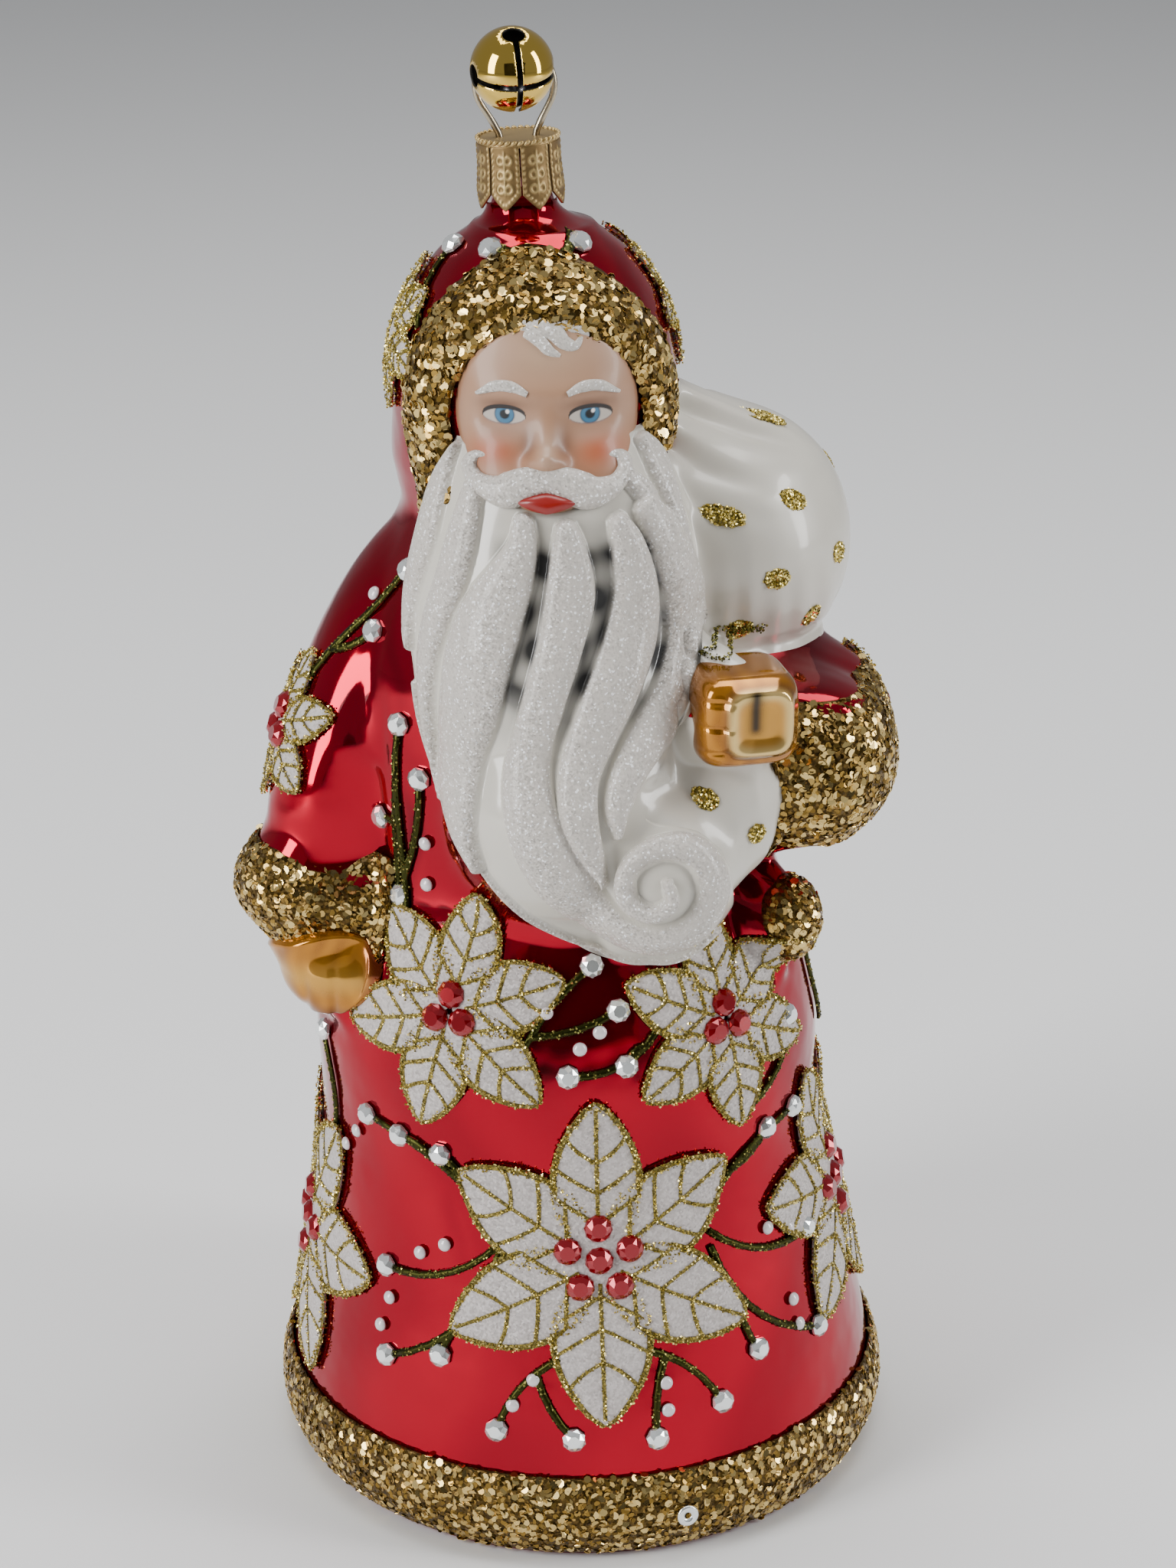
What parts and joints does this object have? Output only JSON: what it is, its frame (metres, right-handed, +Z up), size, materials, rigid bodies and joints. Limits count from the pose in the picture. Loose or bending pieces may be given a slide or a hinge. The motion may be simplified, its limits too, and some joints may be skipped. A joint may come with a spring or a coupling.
{
  "type": "christmas bell ornament",
  "caption": "Blown-glass Father Christmas ornament with a metal cap, a wire hanging loop and a small jingle bell that swings on the loop.",
  "frame": {"origin": "centre of the flat base, under the hem of the robe", "axes": "+Z up along the figure, -Y out of its face, +X to the viewer's right"},
  "size_m": [0.0861, 0.0824, 0.1901],
  "materials": {
    "lacquered_glass": "mirror-bright red lacquer over silvered glass, with pearl, flesh and amber areas",
    "neck_glass": "cut glass neck",
    "cap_metal": "antique gold, embossed",
    "hanger_steel": "bright spring wire",
    "bell_brass": "polished",
    "clapper_steel": "plain",
    "gold_sequins": "gold sequins and glitter",
    "flocked_flowers": "white flock with gold glitter lines",
    "green_glitter": "green and gold glitter",
    "gold_glitter": "gold glitter",
    "crystal": "foil-backed cut crystal",
    "pearl_white": "pearl white",
    "ruby_glass": "foil-backed red cabochon"
  },
  "bodies": {
    "figure": {"glass_body": "lacquered_glass", "glass_neck": "neck_glass", "hem_trim": "gold_sequins", "hood_trim": "gold_sequins", "right_cuff_trim": "gold_sequins", "left_cuff_trim": "gold_sequins", "tail_pompom_trim": "gold_sequins", "front_poinsettias": "flocked_flowers", "side_poinsettias": "flocked_flowers", "back_poinsettias": "flocked_flowers", "sleeve_poinsettias": "flocked_flowers", "hood_poinsettias": "flocked_flowers", "sprig_stems": "green_glitter", "sack_dots": "gold_glitter", "crystal_stones": "crystal", "pearl_dots": "pearl_white", "ruby_stones": "ruby_glass"},
    "cap": {"cap_crown": "cap_metal"},
    "hanger": {"hanger_wire": "hanger_steel"},
    "bell": {"bell_shell": "bell_brass", "bell_shank": "bell_brass"},
    "clapper": {"bell_clapper": "clapper_steel"}
  },
  "joints": [
    {"name": "cap_swivel", "type": "hinge", "parent": "figure", "child": "cap", "pos_m": [-0.00763, -0.0008, 0.17619], "axis": [-0.0523, 0, 0.9986], "continuous": true},
    {"name": "loop_tilt", "type": "hinge", "parent": "cap", "child": "hanger", "pos_m": [-0.00762, -0.0008, 0.17601], "axis": [0.9986, 0, 0.0523], "range_deg": [-3, 3]},
    {"name": "bell_swing", "type": "hinge", "parent": "hanger", "child": "bell", "pos_m": [-0.00819, -0.0008, 0.18692], "axis": [0.9986, 0, 0.0523], "range_deg": [-244, 28]},
    {"name": "clapper_rattle", "type": "slide", "parent": "bell", "child": "clapper", "axis": [0, 0, 1], "range_m": [0, 0.0057]}
  ]
}
